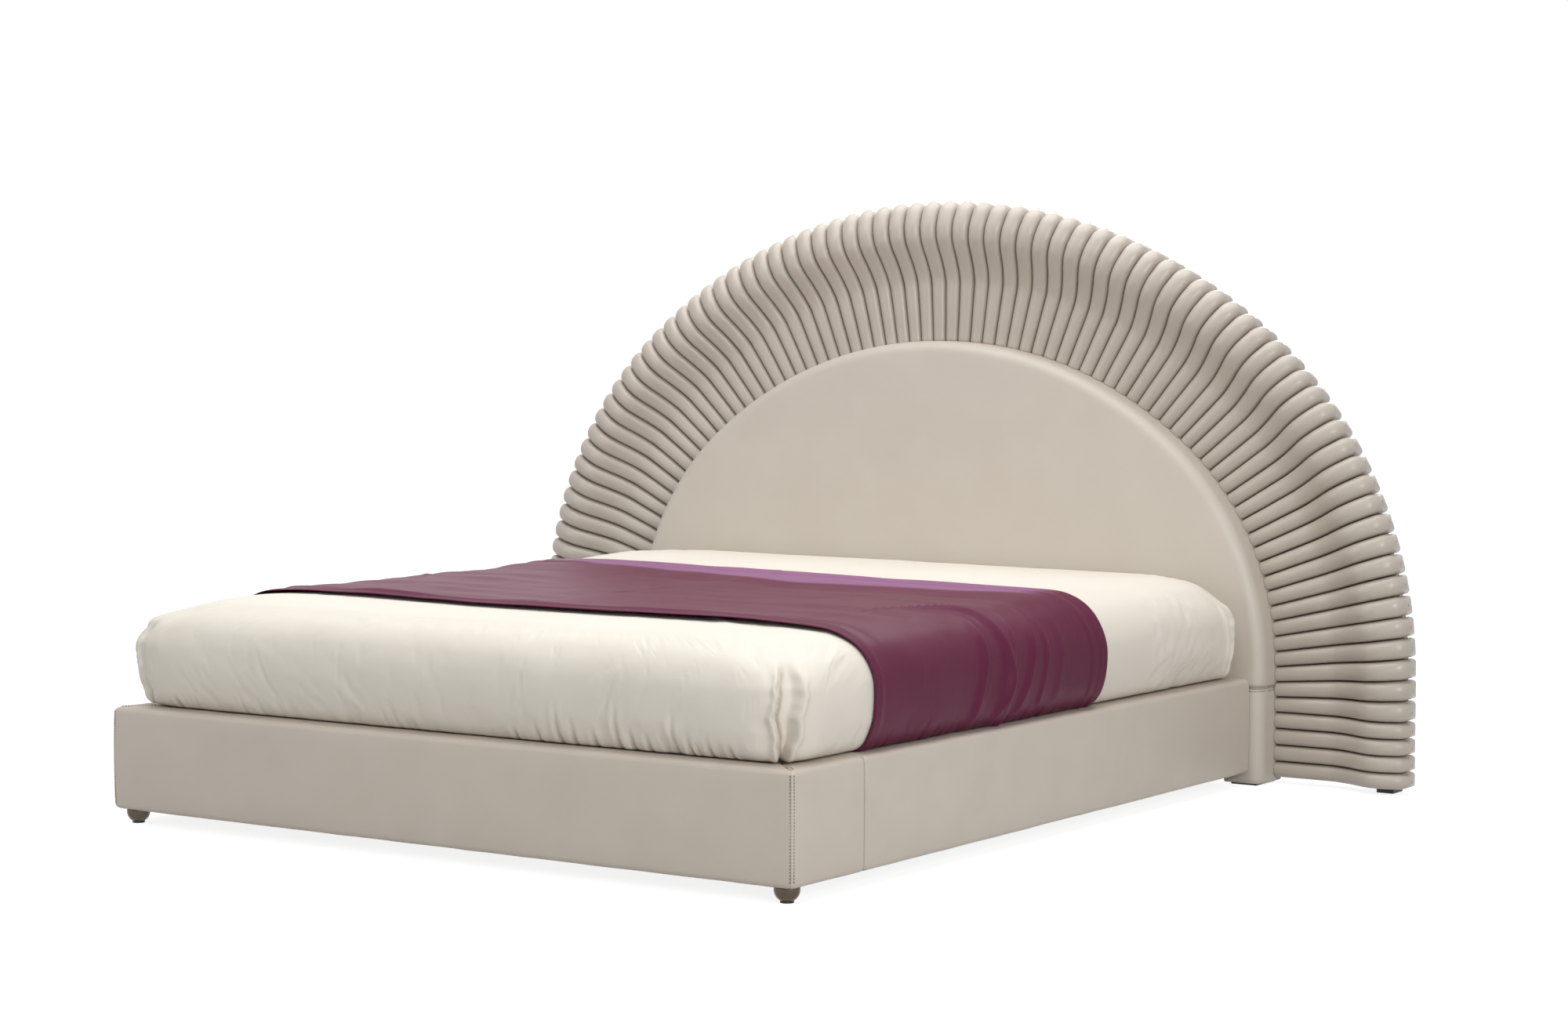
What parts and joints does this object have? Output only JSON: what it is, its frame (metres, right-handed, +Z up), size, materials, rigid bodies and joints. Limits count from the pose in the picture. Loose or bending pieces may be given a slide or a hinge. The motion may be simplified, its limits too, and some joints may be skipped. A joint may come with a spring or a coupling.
{
  "type": "round bed",
  "caption": "Bed with a fan-shaped round headboard of padded rolls round an arched panel, a padded rectangular base with slats, and a made-up mattress with a throw.",
  "frame": {"origin": "middle of the footprint, on the floor", "axes": "+X to the right of a person who faces the headboard from the foot, +Y from the foot to the headboard, +Z up"},
  "size_m": [2.796, 2.265, 1.5419],
  "materials": {
    "rail_leather": "smooth padded leather, beige-grey",
    "roll_leather": "smooth padded leather, light beige",
    "panel_leather": "smooth padded leather, pale beige",
    "backing_fabric": "plain woven lining",
    "timber_board": "planed board",
    "slat_plywood": "bent birch plywood",
    "holder_plastic": "matte black",
    "frame_steel": "black powder coat",
    "bolt_steel": "zinc plated",
    "foot_metal": "glossy dark bronze",
    "glide_plastic": "black",
    "mattress_ticking": "white ticking",
    "bedding_cotton": "ivory sateen",
    "throw_satin": "plum satin"
  },
  "bodies": {
    "bed_frame": {"back_cover": "backing_fabric", "ball_glides": "glide_plastic", "beam_hangers": "frame_steel", "centre_beam": "frame_steel", "centre_leg_feet": "glide_plastic", "centre_legs": "frame_steel", "foot_ledge": "frame_steel", "foot_studs": "bolt_steel", "footboard_board": "timber_board", "footboard_cover": "rail_leather", "frame_bolts": "bolt_steel", "head_brackets": "frame_steel", "head_ledge": "frame_steel", "head_rail": "timber_board", "headboard_board": "timber_board", "joint_plates": "frame_steel", "left_ball_foot": "foot_metal", "left_crown_rolls": "roll_leather", "left_haunch_rolls": "roll_leather", "left_ledge": "frame_steel", "left_leg_board": "timber_board", "left_leg_pad": "panel_leather", "left_leg_post": "timber_board", "left_leg_rolls": "roll_leather", "left_rail_board": "timber_board", "left_rail_cover": "rail_leather", "left_return_board": "timber_board", "left_return_cover": "rail_leather", "left_shoulder_rolls": "roll_leather", "left_side_rolls": "roll_leather", "leg_back_covers": "backing_fabric", "leg_glides": "glide_plastic", "outer_feet": "glide_plastic", "panel_core": "timber_board", "panel_pad": "panel_leather", "right_ball_foot": "foot_metal", "right_crown_rolls": "roll_leather", "right_haunch_rolls": "roll_leather", "right_ledge": "frame_steel", "right_leg_board": "timber_board", "right_leg_pad": "panel_leather", "right_leg_post": "timber_board", "right_leg_rolls": "roll_leather", "right_rail_board": "timber_board", "right_rail_cover": "rail_leather", "right_return_board": "timber_board", "right_return_cover": "rail_leather", "right_shoulder_rolls": "roll_leather", "right_side_rolls": "roll_leather"},
    "slatted_base": {"left_slat_holders": "holder_plastic", "left_slats": "slat_plywood", "right_slat_holders": "holder_plastic", "right_slats": "slat_plywood", "slat_end_bars": "timber_board", "slat_side_bars": "timber_board"},
    "bed_mattress": {"bedding": "bedding_cotton", "mattress": "mattress_ticking", "throw": "throw_satin"}
  },
  "joints": [
    {"name": "slatted_base_lift", "type": "slide", "parent": "bed_frame", "child": "slatted_base", "axis": [0, 0, 1], "range_m": [0, 0.3]},
    {"name": "mattress_lift", "type": "slide", "parent": "slatted_base", "child": "bed_mattress", "axis": [0, 0, 1], "range_m": [0, 0.5]}
  ]
}
